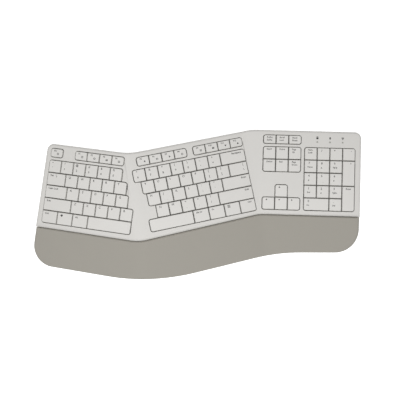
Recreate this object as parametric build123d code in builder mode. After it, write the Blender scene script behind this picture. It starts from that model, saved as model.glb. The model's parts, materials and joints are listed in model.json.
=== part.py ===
"""Split, tented keyboard with a moulded palm rest, in millimetres.

+X is to the right, +Y to the rear and +Z up. The origin is under the middle of the case, on the desk.
"""

import os
from math import copysign

from build123d import *

os.makedirs("parts", exist_ok=True)

# Keys
key_pitch = 19.05
key_gap = 0.9            # between the skirts of neighbouring keycaps
function_row_gap = 4.1
function_row_height = 13.6
nav_gap = 5.0            # between the nav cluster and the numpad
cap_stand = 2.2          # height of a keycap's top above the deck
cap_height = 4.2
cap_taper = 5.4          # degrees that the skirt leans in
cap_edge = 0.5
edge_taper = 45.0
cap_wall = 1.3
cap_roof = 1.4
key_travel = 2.6
block_corner = 3.0       # corner radius where a block of keys ends

# Plungers and the stack under the keys, as depths below the deck
plunger_width = 5.0
plunger_depth = 7.0
guide_post_width = 3.0
guide_post_inset = 8.0
guide_post_key = 2.0     # keys this many pitches wide or more have guide posts
slide_clearance = 0.4
frame_depth = cap_height - cap_stand + key_travel + slide_clearance
frame_thickness = 3.1
frame_margin = 3.0
stack_chamfer = 2.5      # at the rear corners, clear of the case's round ones
frame_rim = 1.6
frame_rim_height = 2.9
ridge_gap = 0.4          # from the ridge to the left and the right stack
dome_height = 3.7
dome_base_radius = 4.2
dome_top_radius = 2.0
sheet_thickness = 0.6
membrane_thickness = 0.5
back_plate_thickness = 1.0
tail_width = 20.0
tail_length = 17.0

# Decks: the angles and places of the three banks of keys
tent_angle = 7.0
left_yaw = -6.2
right_yaw = 13.6
left_pitch = 4.0
right_pitch = 2.2
numpad_pitch = 2.2
deck_front_height = 19.3
right_bank_offset = (-7.2, -1.8, 0.3)      # its front right corner from the nav cluster's front left
left_bank_offset = (-31.0, -4.8, 0.34)     # its front right corner from the right bank's front left

# Case
wall = 2.2
left_margin = 7.4
right_margin = 9.3
left_rear_margin = 6.8
right_rear_margin = 8.7
numpad_rear_margin = 7.7
lip_width = 7.2
seam_centre_offset = (-2.5, -12.0)         # front of the deck from the middle of the thumb keys
seam_bend_offset = (-3.0, -6.9)            # from the nav cluster's front left corner
palm_left_depth = 63.9
palm_left_flare = 1.6
palm_centre_offset = (17.3, -73.0)         # front bend from the middle of the thumb keys
palm_bend_x = -35.2
palm_bend_depth = 64.0
palm_right_depth = 60.6
palm_pitch = 6.0
palm_step = 3.4          # the palm rest starts this far below the deck
seam_gap = 0.3
rear_corner = 10.0
front_left_corner = 33.0
front_right_corner = 36.0
rear_valley = 80.0
seam_bend = 60.0
palm_bend = 330.0
palm_numpad_bend = 290.0
ridge_radius = 80.0
rim_radius = 3.8
palm_rim_radius = 4.0
aperture_clearance = 0.35
collar_wall = 2.3

# Tray
foot_height = 1.5
floor_thickness = 2.2
tray_height = 3.5
tray_chamfer = 1.0
register_wall = 1.4
register_height = 2.0
register_clearance = 0.2
rib_thickness = 2.0
rib_length = 60.0

# Screws
boss_radius = 2.9
screw_post_radius = 4.4
screw_radius = 1.3
screw_head_radius = 2.6
screw_head_height = 1.4
screw_seat_depth = 2.0   # from the tray's underside up to the seats of the heads
screw_socket_radius = 1.2
screw_socket_depth = 0.8
screw_length = 6.0
screw_spare = 0.5        # how much deeper than its screw a pilot hole is
thread_clearance = 0.05
hole_clearance = 0.3

# Battery bay
cell_radius = 7.1
cell_length = 48.8
cell_tip_radius = 2.7
cell_tip_length = 1.2
cell_gap = 0.6           # between the cells, and between a cell and the bay's side
cell_stand = 0.2         # of the cells above the bay's floor
contact_thickness = 0.6
contact_width = 8.0
contact_height = 10.0
spring_length = 5.8
spring_radius = 3.5
spring_tip_radius = 2.2
bay_height = 15.0
bay_wall = 2.0
door_length = 64.0
door_width = 33.4
door_thickness = 2.2
door_lip = 1.0           # thickness of the floor's lips that hold the door's tabs
door_tongue = 1.5        # reach of the tabs over the lips
door_slide = 8.0
door_clearance = 0.3
tab_length = 7.2
tab_spots = (-22, -4, 14)
tab_slack = 1.0
grip_spots = (6, 9, 12)  # grooves, from the end of the door that leads when it opens
grip_width = 1.2
grip_length = 16.0
grip_depth = 0.4

# Tilt feet
leg_width = 26.0
leg_length = 22.0
leg_thickness = 3.6
leg_window = (14.0, 8.0)
hinge_height = 3.8
hinge_pin_radius = 1.3
hinge_pin_reach = 1.6
hinge_clearance = 0.4
pocket_wall = 2.6
pocket_roof = 2.0
pocket_headroom = 0.5
pocket_rear_clearance = 0.8
pocket_front_clearance = 0.6
finger_notch = (12.0, 10.0, 1.4)

# Power switch
switch_knob = (5.0, 4.0)
switch_flange = (9.0, 7.0)
switch_flange_height = 1.2
switch_knob_stand = 0.6
switch_travel = 4.0
switch_wall = 1.8

# Board and lamps
board_size = (64.0, 14.0)
board_thickness = 1.6
board_depth = 6.0
board_left = 5.0
board_gap = 2.2          # between the numpad's frame and the board
board_post = 2.6
chip_size = 6.0
chip_height = 1.0
chip_offset = 22.0
connector_width = 5.0
lamp_size = 2.4
lamp_height = 0.8
lamp_row = 8.6           # above the top edge of the numpad's keys
lens_radius = 1.1
lens_stand = 0.15
lens_depth = 4.9
lens_flange_radius = 1.9
lens_flange = 0.8
lens_clearance = 0.1

# Rubber feet
pad_size = (24.0, 8.0)
pad_recess = 0.5

floor_top = foot_height + floor_thickness
screw_seat = foot_height + screw_seat_depth
pilot_top = screw_seat + screw_length + screw_spare
bay_length = spring_length + cell_length + cell_tip_length + 2 * contact_thickness
bay_width = 4 * cell_radius + 3 * cell_gap
channel_top = foot_height + door_thickness + door_clearance
channel_width = door_width + 2 * (door_tongue + door_clearance)
channel_length = door_length + door_slide + 2 * door_clearance
bay_top = channel_top + bay_height
cell_height = channel_top + cell_stand + cell_radius
switch_reach = switch_travel + 2 * door_clearance
switch_cavity = (switch_flange[0] + switch_reach, switch_flange[1] + 2 * door_clearance)
switch_slot = (switch_knob[0] + switch_reach, switch_knob[1] + 2 * door_clearance)
switch_housing = (switch_cavity[0] + 2 * switch_wall, switch_cavity[1] + 2 * switch_wall)
switch_top = floor_top + 2 * door_clearance + switch_flange_height
pocket_width = leg_width + 2 * hinge_clearance
pocket_rear = leg_thickness / 2 + pocket_rear_clearance
pocket_length = leg_length + pocket_rear_clearance + pocket_front_clearance
pocket_top = hinge_height + leg_thickness / 2 + pocket_headroom
tray_top = foot_height + tray_height
function_row = 5 * key_pitch + function_row_gap
function_top = function_row + function_row_height
sheet_depth = frame_depth + frame_thickness + frame_rim_height
membrane_depth = sheet_depth + sheet_thickness
plate_depth = membrane_depth + membrane_thickness
stack_depth = plate_depth + back_plate_thickness
left_bank_width = 7.25 * key_pitch
right_bank_width = 9 * key_pitch
nav_left = -3 * key_pitch - nav_gap
numpad_width = 4 * key_pitch
tall = 90.0              # above every deck
wide = 500.0             # beyond every side of the case
shelf_reach = 60.0       # how far the numpad's roof runs on under the right deck


def deck_plane(corner, yaw, pitch, tent):
    """A deck: x along the rows of keys, y to the rear, z out of the deck."""
    def turned(direction):
        return direction.rotate(Axis.Y, -tent).rotate(Axis.X, pitch).rotate(Axis.Z, yaw)
    return Plane(origin=corner, x_dir=turned(Vector(1, 0, 0)), z_dir=turned(Vector(0, 0, 1)))


def point_on(deck, x, y, depth=0.0):
    return deck.from_local_coords(Vector(x, y, -depth))


def plan(deck, x, y):
    """Where a point of a deck lies, seen from above."""
    point = point_on(deck, x, y)
    return point.X, point.Y


def row_line(deck, y):
    return plan(deck, 0, y), plan(deck, key_pitch, y)


def crossing(first, second):
    """The point where two lines, each given by two points, meet in plan."""
    (x1, y1), (x2, y2) = first
    (x3, y3), (x4, y4) = second
    along = ((x3 - x1) * (y4 - y3) - (y3 - y1) * (x4 - x3)) / ((x2 - x1) * (y4 - y3) - (y2 - y1) * (x4 - x3))
    return x1 + along * (x2 - x1), y1 + along * (y2 - y1)


def shifted(point, offset):
    return point[0] + offset[0], point[1] + offset[1]


def layout(numpad_x, numpad_y):
    """The three decks and the corners of the case, from where the numpad's front left corner is."""
    numpad = deck_plane(Vector(numpad_x, numpad_y, deck_front_height), 0, numpad_pitch, 0)
    right_corner = point_on(numpad, nav_left, 0) + Vector(*right_bank_offset)
    right = deck_plane(right_corner, right_yaw, right_pitch, -tent_angle)
    right = Plane(point_on(right, -right_bank_width, 0), x_dir=right.x_dir, z_dir=right.z_dir)
    right_inner = point_on(right, 0.5 * key_pitch, 0)
    left = deck_plane(right_inner + Vector(*left_bank_offset), left_yaw, left_pitch, tent_angle)
    left = Plane(point_on(left, -left_bank_width, 0), x_dir=left.x_dir, z_dir=left.z_dir)
    thumbs = (right_inner + point_on(left, left_bank_width, 0)) / 2
    thumbs = (thumbs.X, thumbs.Y)
    left_rear = row_line(left, function_top + left_rear_margin)
    right_rear = row_line(right, function_top + right_rear_margin)
    numpad_rear = row_line(numpad, function_top + numpad_rear_margin)
    right_side = numpad_width + right_margin
    rear_left = plan(left, -left_margin, function_top + left_rear_margin)
    front_left = plan(left, -left_margin - palm_left_flare, -palm_left_depth)
    corners = {
        "rear_left": rear_left,
        "rear_valley": crossing(left_rear, right_rear),
        "rear_bend": crossing(right_rear, numpad_rear),
        "rear_right": plan(numpad, right_side, function_top + numpad_rear_margin),
        "front_right": plan(numpad, right_side, -palm_right_depth),
        "front_bend": plan(numpad, palm_bend_x, -palm_bend_depth),
        "front_centre": shifted(thumbs, palm_centre_offset),
        "front_left": front_left,
        "seam_left": crossing(row_line(left, -lip_width), (rear_left, front_left)),
        "seam_centre": shifted(thumbs, seam_centre_offset),
        "seam_bend": shifted(plan(numpad, nav_left, 0), seam_bend_offset),
        "seam_right": plan(numpad, right_side, seam_bend_offset[1]),
    }
    return left, right, numpad, corners


corner_radius = {
    "rear_left": rear_corner,
    "rear_valley": rear_valley,
    "rear_bend": rear_valley,
    "rear_right": rear_corner,
    "front_right": front_right_corner,
    "front_bend": palm_numpad_bend,
    "front_centre": palm_bend,
    "front_left": front_left_corner,
    "seam_centre": seam_bend,
    "seam_bend": seam_bend,
}
rear_names = ["rear_left", "rear_valley", "rear_bend", "rear_right"]
front_names = ["front_right", "front_bend", "front_centre", "front_left"]
seam_names = ["seam_right", "seam_bend", "seam_centre", "seam_left"]


def outline(corners, names, inset=0.0):
    """A flat face through the named corners, each rounded to its own radius, drawn in by inset."""
    with BuildSketch() as face:
        with BuildLine():
            Polyline([corners[name] for name in names], close=True)
        make_face()
        if inset:
            offset(amount=-inset, kind=Kind.INTERSECTION)
        for before, name, after in zip(names[-1:] + names, names, names[1:] + names[:1]):
            if name in corner_radius:
                spot = Vector(*corners[name])
                turn = (spot - Vector(*corners[before])).cross(Vector(*corners[after]) - spot).Z
                radius = corner_radius[name] + copysign(inset, turn)
                fillet(face.vertices().sort_by_distance(spot)[0], radius)
    return face.face()


first_corners = layout(0, 0)[3]
middle = outline(first_corners, rear_names + front_names).bounding_box().center()
left_deck, right_deck, numpad_deck, corners = layout(-middle.X, -middle.Y)
deck_names = rear_names + seam_names
palm_corners = dict(corners)
for seam_name in seam_names:
    palm_corners[seam_name] = shifted(corners[seam_name], (0, -seam_gap))
palm_names = seam_names[::-1] + front_names


def palm_deck(deck, yaw, tent):
    return deck_plane(point_on(deck, 0, -lip_width, palm_step), yaw, palm_pitch, tent)


left_palm = palm_deck(left_deck, left_yaw, tent_angle)
right_palm = palm_deck(right_deck, right_yaw, -tent_angle)
numpad_palm = palm_deck(numpad_deck, 0, 0)


def key(node, x, y, width=1.0, depth=1.0):
    """One keycap's place: its front left corner in pitches from the bank's corner."""
    high = depth * key_pitch
    bottom = y * key_pitch
    if y == 5:
        bottom = function_row
        high = function_row_height
    return {"node": node, "x": x * key_pitch, "y": bottom, "width": width * key_pitch, "depth": high}


def key_row(node, x, y, count):
    return [key(node, x + step, y) for step in range(count)]


left_keys = [
    key("key_left_control", 0, 0, 1.25),
    key("key_left_system", 1.25, 0, 1.25),
    key("key_left_alt", 2.5, 0, 1.25),
    key("key_left_space", 3.75, 0, 3.5),
    key("key_left_shift", 0, 1, 2.25),
    *key_row("keys_left_lower_row", 2.25, 1, 5),
    key("key_caps_lock", 0, 2, 1.75),
    *key_row("keys_left_home_row", 1.75, 2, 5),
    key("key_tab", 0, 3, 1.5),
    *key_row("keys_left_upper_row", 1.5, 3, 5),
    *key_row("keys_left_number_row", 0, 4, 6),
    key("key_escape", 0, 5),
    *key_row("keys_f1_to_f4", 2, 5, 4),
]
right_keys = [
    key("key_right_space", 0.5, 0, 3.5),
    key("key_right_alt", 4, 0, 1.25),
    key("key_right_system", 5.25, 0, 1.25),
    key("key_menu", 6.5, 0, 1.25),
    key("key_right_control", 7.75, 0, 1.25),
    *key_row("keys_right_lower_row", 1.25, 1, 5),
    key("key_right_shift", 6.25, 1, 2.75),
    *key_row("keys_right_home_row", 0.75, 2, 6),
    key("key_enter", 6.75, 2, 2.25),
    *key_row("keys_right_upper_row", 0.5, 3, 7),
    key("key_backslash", 7.5, 3, 1.5),
    *key_row("keys_right_number_row", 0, 4, 7),
    key("key_backspace", 7, 4, 2),
    *key_row("keys_f5_to_f8", 0.5, 5, 4),
    *key_row("keys_f9_to_f12", 5, 5, 4),
]
nav_x = nav_left / key_pitch
nav_keys = [
    key("key_arrow_left", nav_x, 0),
    key("key_arrow_down", nav_x + 1, 0),
    key("key_arrow_right", nav_x + 2, 0),
    key("key_arrow_up", nav_x + 1, 1),
    *key_row("keys_delete_end_page_down", nav_x, 3, 3),
    *key_row("keys_insert_home_page_up", nav_x, 4, 3),
    *key_row("keys_print_scroll_pause", nav_x, 5, 3),
]
numpad_keys = [
    key("key_numpad_zero", 0, 0, 2),
    key("key_numpad_point", 2, 0),
    *key_row("keys_numpad_123", 0, 1, 3),
    *key_row("keys_numpad_456", 0, 2, 3),
    *key_row("keys_numpad_789", 0, 3, 3),
    *key_row("keys_numpad_top_row", 0, 4, 4),
    key("key_numpad_enter", 3, 0, 1, 2),
    key("key_numpad_plus", 3, 2, 1, 2),
]


def centre(place):
    return place["x"] + place["width"] / 2, place["y"] + place["depth"] / 2


def holds(place, x, y):
    return 0 < x - place["x"] < place["width"] and 0 < y - place["y"] < place["depth"]


def open_corners(place, places):
    """The corners of a key, as pairs of signs, that no other key of its bank lies against."""
    found = []
    middle_x, middle_y = centre(place)
    for sign_x in (-1, 1):
        for sign_y in (-1, 1):
            corner_x = middle_x + sign_x * place["width"] / 2
            corner_y = middle_y + sign_y * place["depth"] / 2
            around = [
                (corner_x + step_x * key_gap, corner_y + step_y * key_gap)
                for step_x, step_y in ((1, 1), (1, -1), (-1, 1), (-1, -1))
            ]
            if sum(holds(other, *spot) for spot in around for other in places) == 1:
                found.append((sign_x, sign_y))
    return found


def cap_face(width, depth, rounded, radius):
    """A keycap's plan, with a radius at each corner that ends a block of keys."""
    with BuildSketch() as face:
        Rectangle(width, depth)
        for sign_x, sign_y in rounded:
            spot = Vector(sign_x * width / 2, sign_y * depth / 2)
            fillet(face.vertices().sort_by_distance(spot)[0], radius)
    return face.face()


def guide_spots(width, depth):
    """The places of a long key's guide posts, from its middle."""
    if width >= guide_post_key * key_pitch:
        reach = width / 2 - guide_post_inset
        return [(-reach, 0), (reach, 0)]
    if depth >= guide_post_key * key_pitch:
        reach = depth / 2 - guide_post_inset
        return [(0, -reach), (0, reach)]
    return []


def keycap(place, places):
    """A hollow cap with a drafted skirt, a soft top edge and a square plunger, about its own middle."""
    width = place["width"] - key_gap
    depth = place["depth"] - key_gap
    rounded = open_corners(place, places)
    foot = cap_stand - cap_height
    ceiling = cap_stand - cap_roof
    with BuildPart() as cap:
        with BuildSketch(Plane.XY.offset(foot)):
            add(cap_face(width, depth, rounded, block_corner))
        extrude(amount=cap_height - cap_edge, taper=cap_taper)
        extrude(cap.faces().sort_by(Axis.Z)[-1], amount=cap_edge, taper=edge_taper)
        with BuildSketch(Plane.XY.offset(foot)):
            Rectangle(width - 2 * cap_wall, depth - 2 * cap_wall)
        extrude(amount=ceiling - foot, mode=Mode.SUBTRACT)
        with BuildSketch(Plane.XY.offset(ceiling)):
            Rectangle(plunger_width, plunger_width)
            spots = guide_spots(place["width"], place["depth"])
            if spots:
                with Locations(*spots):
                    Rectangle(guide_post_width, guide_post_width)
        extrude(amount=-ceiling - plunger_depth)
    return cap.part


def save(built, name):
    built.part.label = name
    export_step(built.part, "parts/" + name + ".step")


banks = [(left_deck, left_keys), (right_deck, right_keys), (numpad_deck, nav_keys + numpad_keys)]


def make_keys():
    """Each node holds the caps of one key or of one row of like keys."""
    for deck, places in banks:
        masters = {}
        for name in dict.fromkeys(place["node"] for place in places):
            spots = {}
            for place in places:
                if place["node"] == name:
                    size = (round(place["width"], 6), round(place["depth"], 6))
                    shape = (*size, *open_corners(place, places))
                    if shape not in masters:
                        masters[shape] = keycap(place, places)
                    spots.setdefault(shape, []).append(deck.location * Location(centre(place)))
            with BuildPart() as keys:
                for shape, locations in spots.items():
                    with Locations(*locations):
                        add(masters[shape], clean=False)
            save(keys, name)


def block_face(places, margin, radius=0.0):
    """The outline of a block of keys, grown by margin, with its outer corners rounded."""
    with BuildSketch() as face:
        for place in places:
            with Locations(centre(place)):
                Rectangle(place["width"], place["depth"])
        offset(amount=margin, kind=Kind.INTERSECTION)
        if radius:
            offset(amount=-radius, kind=Kind.INTERSECTION)
            offset(amount=radius, kind=Kind.ARC)
    return face.faces()


def blocks(places):
    """The keys of a bank, sorted into blocks that stand apart from each other."""
    waiting = list(places)
    found = []
    while waiting:
        block = [waiting.pop(0)]
        grown = True
        while grown:
            near = [place for place in waiting if any(touching(place, other) for other in block)]
            block += near
            waiting = [place for place in waiting if place not in near]
            grown = bool(near)
        found.append(block)
    return found


def touching(first, second):
    gap_x = abs(centre(first)[0] - centre(second)[0]) - (first["width"] + second["width"]) / 2
    gap_y = abs(centre(first)[1] - centre(second)[1]) - (first["depth"] + second["depth"]) / 2
    return max(gap_x, gap_y) < key_gap


def envelope(corner_points, names, inset, drop, roofs, rim, rounded_faces):
    """A solid from the tray's top up to three roof planes, with its ridge, its valley and its rim eased."""
    left_roof, right_roof, numpad_roof = (roof.offset(-drop) for roof in roofs)
    face = outline(corner_points, names, inset)
    shelf_start = plan(numpad_deck, nav_left, 0)[0] - shelf_reach
    with BuildPart() as shelf:
        with BuildSketch(Plane.XY.offset(tray_top)):
            add(face)
            with Locations((shelf_start, 0)):
                Rectangle(wide, wide, align=(Align.MIN, Align.CENTER), mode=Mode.INTERSECT)
        extrude(amount=tall)
        split(bisect_by=numpad_roof, keep=Keep.BOTTOM)
    with BuildPart() as body:
        with BuildSketch(Plane.XY.offset(tray_top)):
            add(face)
        extrude(amount=tall)
        split(bisect_by=left_roof, keep=Keep.BOTTOM)
        split(bisect_by=right_roof, keep=Keep.BOTTOM)
        add(shelf.part)
        if rim:
            ridge = left_roof.z_dir.cross(right_roof.z_dir).normalized()
            valley = right_roof.z_dir.cross(numpad_roof.z_dir).normalized()
            for direction in (ridge, valley):
                straight = body.edges().filter_by(GeomType.LINE)
                bends = [edge for edge in straight if abs((edge % 0.5).dot(direction)) > 0.99999]
                fillet(bends, ridge_radius)
            sides = [side for side in body.faces() if abs(side.normal_at().Z) < 0.01 and rounded_faces(side)]
            rims = [
                edge
                for side in sides
                for edge in side.edges()
                if edge.center().Z > tray_top + 0.5 and abs((edge % 0.5).Z) < 0.9
            ]
            fillet(rims, rim)
    return body


roofs = (left_deck, right_deck, numpad_deck)
palm_roofs = (left_palm, right_palm, numpad_palm)


def between(first, second, share=0.5):
    return first[0] + share * (second[0] - first[0]), first[1] + share * (second[1] - first[1])


# Places of the fixings, the battery bay, the switch and the feet, seen from above
thumb_gap = between(plan(left_deck, left_bank_width, 0), plan(right_deck, 0.5 * key_pitch, 0))
f4_corner = plan(left_deck, 6 * key_pitch, function_top)
f5_corner = plan(right_deck, 0.5 * key_pitch, function_top)
f12_corner = plan(right_deck, right_bank_width, function_top)
print_corner = plan(numpad_deck, nav_left, function_top)
top_screws = [
    plan(left_deck, 1.5 * key_pitch, function_top - 2 * boss_radius),
    shifted(between(f4_corner, f5_corner), (0, -boss_radius)),
    shifted(thumb_gap, (0, 2 * boss_radius)),
    shifted(between(f12_corner, print_corner), (0, -2 * boss_radius)),
    plan(numpad_deck, numpad_width + 0.5 * boss_radius, function_top - 2 * boss_radius),
]
palm_screws = [
    shifted(corners["seam_left"], (28, -28)),
    shifted(corners["seam_centre"], (4, -30)),
    shifted(corners["seam_right"], (-60, -29)),
]
screw_spots = top_screws + palm_screws
bay_spot = shifted(thumb_gap, (-5, 53))
switch_spot = plan(right_deck, 113, 54)
hinge_spots = {"tilt_foot_left": plan(left_deck, 32, 95), "tilt_foot_right": plan(numpad_deck, 45, 100)}
pad_spots = [
    shifted(corners["rear_left"], (80, -22)),
    shifted(corners["rear_valley"], (70, 4)),
    shifted(corners["rear_right"], (-85, -14)),
    shifted(corners["front_left"], (38, 8)),
    shifted(corners["seam_centre"], (-2, -45)),
    shifted(corners["front_right"], (-40, 15)),
]
rib_spots = [
    (left_deck, [(10, 41), (58, 46), (96, 50)]),
    (right_deck, [(46, 42), (95, 42), (143, 42)]),
    (numpad_deck, [(-40, 30), (20, 30), (70, 30)]),
]
lens_spots = [(step * key_pitch, 5 * key_pitch + lamp_row) for step in (1, 2, 3)]
board_spot = (board_left + board_size[0] / 2, 5 * key_pitch + frame_margin + board_gap + board_size[1] / 2)
board_post_spots = [shifted(board_spot, (side * (board_size[0] / 2 - board_post), 0)) for side in (-1, 1)]
tail_spot = (board_spot[0], 5 * key_pitch + tail_length / 2)


def every_side(side):
    return True


def outer_side(side):
    """Every side of the palm rest but the one along the seam."""
    return side.normal_at().Y < 0.5


def prism(plane, faces, start, end):
    """The faces, drawn on a plane, as a part between two distances from it."""
    with BuildPart() as body:
        with BuildSketch(plane.offset(start)):
            add(faces)
        extrude(amount=end - start)
    return body.part


def rectangles(spots, width, depth):
    with BuildSketch() as faces:
        with Locations(*spots):
            Rectangle(width, depth)
    return faces.faces()


def polygons(spots, radius, sides=6):
    with BuildSketch() as faces:
        with Locations(*spots):
            RegularPolygon(radius, sides)
    return faces.faces()


def box(spot, size, low, high):
    """An upright block of the given width and depth between two heights."""
    return prism(Plane.XY, rectangles([spot], *size), low, high)


def openings(places, margin, radius=0.0):
    return [face for block in blocks(places) for face in block_face(block, margin, radius)]


def shell(corner_points, names, covers, rim, rounded_faces, spots):
    """A hollow cover with screw bosses under it."""
    outer = envelope(corner_points, names, 0, 0, covers, rim, rounded_faces)
    inner = envelope(corner_points, names, wall, wall, covers, 0, rounded_faces)
    posts = prism(Plane.XY, polygons(spots, boss_radius), tray_top, tall)
    pilots = prism(Plane.XY, polygons(spots, screw_radius + thread_clearance), tray_top, pilot_top)
    with BuildPart() as bosses:
        add(posts)
        add(outer.part, mode=Mode.INTERSECT)
    with BuildPart() as cover:
        add(outer.part)
        add(inner.part, mode=Mode.SUBTRACT)
        add(bosses.part)
        add(pilots, mode=Mode.SUBTRACT)
    return cover.part


def make_top_case():
    cover = shell(corners, deck_names, roofs, rim_radius, every_side, top_screws)
    collar = aperture_clearance + collar_wall
    corner = block_corner + aperture_clearance + key_gap / 2
    collars = [prism(deck, openings(places, collar), -frame_depth, -wall / 2) for deck, places in banks]
    apertures = [
        prism(deck, openings(places, aperture_clearance, corner), -frame_depth - wall, wall)
        for deck, places in banks
    ]
    board_posts = prism(numpad_deck, polygons(board_post_spots, board_post), -board_depth, -wall / 2)
    lens_holes = prism(numpad_deck, polygons(lens_spots, lens_radius + lens_clearance, 8), -2 * wall, wall)
    with BuildPart() as top_case:
        add(cover)
        add(collars)
        add(board_posts)
        add(apertures, mode=Mode.SUBTRACT)
        add(lens_holes, mode=Mode.SUBTRACT)
    save(top_case, "top_case")


def make_palm_rest():
    cover = shell(palm_corners, palm_names, palm_roofs, palm_rim_radius, outer_side, palm_screws)
    with BuildPart() as palm_rest:
        add(cover)
    save(palm_rest, "palm_rest")


def stack_face(places):
    """The outline shared by a bank's frame, sheets and back plate."""
    with BuildSketch() as face:
        for place in places:
            front = place["y"]
            if front == function_row:
                front -= function_row_gap
            with Locations((place["x"], front)):
                Rectangle(place["width"], place["y"] + place["depth"] - front, align=(Align.MIN, Align.MIN))
        if places[0]["x"] < 0:
            with Locations((nav_left, 0)):
                Rectangle(-nav_left, function_top, align=(Align.MIN, Align.MIN))
        offset(amount=frame_margin, kind=Kind.INTERSECTION)
        chamfer(face.vertices().group_by(Axis.Y)[-1], stack_chamfer)
    return face.face()


def ridge_cuts():
    """Upright planes on each side of the ridge, to keep the left and right stacks apart."""
    across = (left_deck.z_dir - right_deck.z_dir).normalized()
    climb = left_deck.x_dir.dot(right_deck.z_dir)
    run = (right_deck.origin - left_deck.origin).dot(right_deck.z_dir) / climb
    middle_plane = Plane(left_deck.origin + left_deck.x_dir * run, z_dir=across)
    return [(middle_plane.offset(ridge_gap), Keep.TOP), (middle_plane.offset(-ridge_gap), Keep.BOTTOM), None]


stack = [(*bank, stack_face(bank[1]), cut) for bank, cut in zip(banks, ridge_cuts())]
tail = rectangles([tail_spot], tail_width, tail_length)


def layer(deck, face, cut, depth, thickness):
    """One flat layer of a bank's stack."""
    with BuildPart() as body:
        with BuildSketch(deck.offset(-depth)):
            add(face)
        extrude(amount=-thickness)
        if cut:
            split(bisect_by=cut[0], keep=cut[1])
    return body.part


def bore_faces(places):
    """The bores for the plungers and guide posts of a bank."""
    plungers = [centre(place) for place in places]
    posts = [
        shifted(centre(place), spot)
        for place in places
        for spot in guide_spots(place["width"], place["depth"])
    ]
    plunger_bore = plunger_width + 2 * slide_clearance
    post_bore = guide_post_width + 2 * slide_clearance
    return [*rectangles(plungers, plunger_bore, plunger_bore), *rectangles(posts, post_bore, post_bore)]


def make_key_frames():
    """A guide plate for each bank, with a rim around it that stands on the sheets."""
    plates = []
    for deck, places, face, cut in stack:
        with BuildSketch() as plate:
            add(face)
            add(bore_faces(places), mode=Mode.SUBTRACT)
        with BuildSketch() as rim:
            add(face)
            offset(face, amount=-frame_rim, kind=Kind.INTERSECTION, mode=Mode.SUBTRACT)
        plates.append(layer(deck, plate.face(), cut, frame_depth, frame_thickness))
        plates.append(layer(deck, rim.face(), cut, frame_depth + frame_thickness, frame_rim_height))
    with BuildPart() as key_frames:
        add(plates)
    save(key_frames, "key_frames")


def make_dome_sheets():
    """A rubber sheet for each bank, with a dome under the plunger of every key."""
    sheets = [layer(deck, face, cut, sheet_depth, sheet_thickness) for deck, _, face, cut in stack]
    with BuildPart() as dome:
        with BuildSketch(Plane.XY.offset(-sheet_depth)):
            RegularPolygon(dome_base_radius, 6)
        with BuildSketch(Plane.XY.offset(dome_height - sheet_depth)):
            RegularPolygon(dome_top_radius, 6)
        loft(ruled=True)
    spots = [deck.location * Location(centre(place)) for deck, places in banks for place in places]
    with BuildPart() as domes:
        with Locations(*spots):
            add(dome.part, clean=False)
    with BuildPart() as dome_sheets:
        add(sheets)
        add(domes.part, clean=False)
    save(dome_sheets, "dome_sheets")


def make_circuits():
    """The printed membranes and the steel plates behind them; the numpad's have a tail to the board."""
    tails = [
        prism(numpad_deck, tail, -plate_depth, -membrane_depth),
        prism(numpad_deck, tail, -stack_depth, -plate_depth),
    ]
    films = [layer(deck, face, cut, membrane_depth, membrane_thickness) for deck, _, face, cut in stack]
    plates = [layer(deck, face, cut, plate_depth, back_plate_thickness) for deck, _, face, cut in stack]
    with BuildPart() as circuit_membranes:
        add(films)
        add(tails[0])
    save(circuit_membranes, "circuit_membranes")
    with BuildPart() as back_plates:
        add(plates)
        add(tails[1])
    save(back_plates, "back_plates")


def make_board():
    with BuildPart() as controller_board:
        with BuildSketch(numpad_deck.offset(-board_depth - board_thickness)):
            with Locations(board_spot):
                Rectangle(*board_size)
        extrude(amount=board_thickness)
        with BuildSketch(numpad_deck.offset(-board_depth)):
            with Locations(*lens_spots):
                Rectangle(lamp_size, lamp_size)
        extrude(amount=lamp_height)
        with BuildSketch(numpad_deck.offset(-board_depth - board_thickness)):
            with Locations(board_spot):
                Rectangle(tail_width, connector_width)
        extrude(amount=board_depth + board_thickness - membrane_depth)
        with BuildSketch(numpad_deck.offset(-board_depth - board_thickness)):
            with Locations(shifted(board_spot, (chip_offset, 0))):
                Rectangle(chip_size, chip_size)
        extrude(amount=-chip_height)
    save(controller_board, "controller_board")
    with BuildPart() as indicator_lenses:
        with BuildSketch(numpad_deck.offset(lens_stand)):
            with Locations(*lens_spots):
                RegularPolygon(lens_radius, 8)
        extrude(amount=-lens_stand - lens_depth)
        with BuildSketch(numpad_deck.offset(-wall)):
            with Locations(*lens_spots):
                RegularPolygon(lens_flange_radius, 8)
        extrude(amount=-lens_flange)
    save(indicator_lenses, "indicator_lenses")


def make_screws():
    with BuildPart() as case_screws:
        with BuildSketch(Plane.XY.offset(screw_seat)):
            with Locations(*screw_spots):
                RegularPolygon(screw_head_radius, 12)
        extrude(amount=-screw_head_height)
        with BuildSketch(Plane.XY.offset(screw_seat)):
            with Locations(*screw_spots):
                RegularPolygon(screw_radius, 6)
        extrude(amount=screw_length)
        with BuildSketch(Plane.XY.offset(screw_seat - screw_head_height)):
            with Locations(*screw_spots):
                RegularPolygon(screw_socket_radius, 6)
        extrude(amount=screw_socket_depth, mode=Mode.SUBTRACT)
    save(case_screws, "case_screws")


def make_pads():
    with BuildPart() as rubber_feet:
        with BuildSketch():
            with Locations(*pad_spots):
                Rectangle(*pad_size)
        extrude(amount=foot_height + pad_recess)
    save(rubber_feet, "rubber_feet")


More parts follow.
